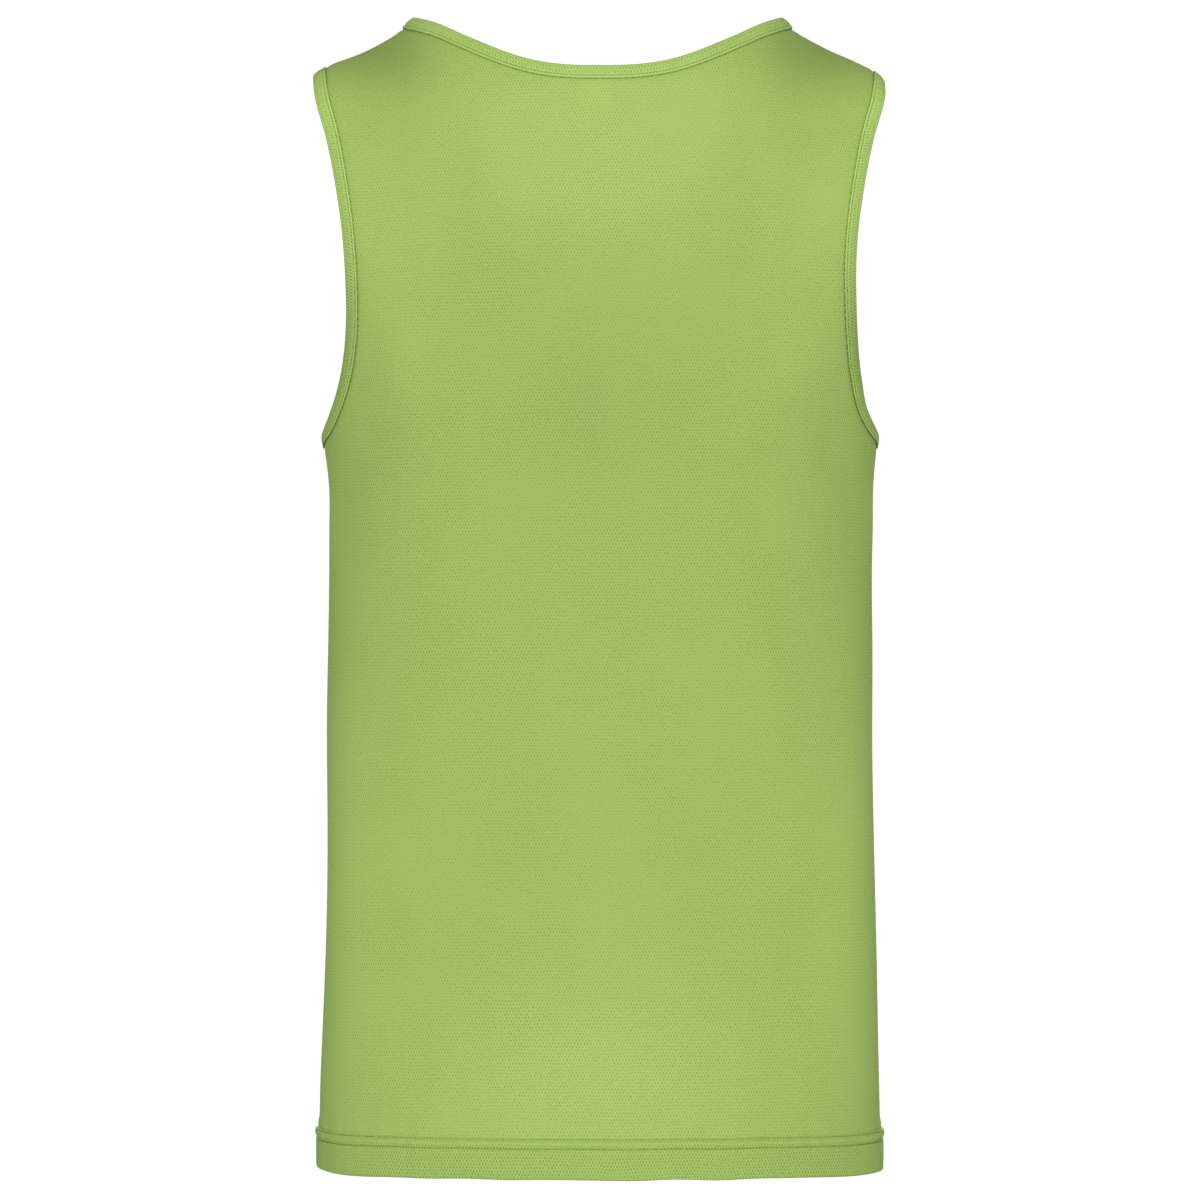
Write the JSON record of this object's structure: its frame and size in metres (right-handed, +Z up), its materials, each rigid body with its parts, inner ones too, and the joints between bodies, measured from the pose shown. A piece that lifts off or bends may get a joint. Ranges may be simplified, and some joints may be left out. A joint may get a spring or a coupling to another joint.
{
  "type": "sports tank top",
  "caption": "Sleeveless sports tank top in plain knit, filled out and hollow, with bound neck and armholes, a stitched hem and a blank neck label.",
  "frame": {"origin": "on the centre plane, midway between the two shoulder straps, at the height of the underside of each strap's middle, where a wearer's shoulders hold it", "axes": "+Z up, -Y the garment's back and +Y its front, +X the wearer's right"},
  "size_m": [0.3586, 0.2329, 0.7179],
  "materials": {
    "body_knit": "lime green bird's-eye pique polyester knit with small dimples and a soft sheen",
    "binding_knit": "lime green folded strip of the same knit, its dimples turned across",
    "label_satin": "plain pale green satin ribbon, blank"
  },
  "bodies": {
    "root": {"back_panel": "body_knit", "front_panel": "body_knit", "neck_binding": "binding_knit", "armhole_binding_left": "binding_knit", "armhole_binding_right": "binding_knit", "neck_label": "label_satin"}
  },
  "joints": []
}
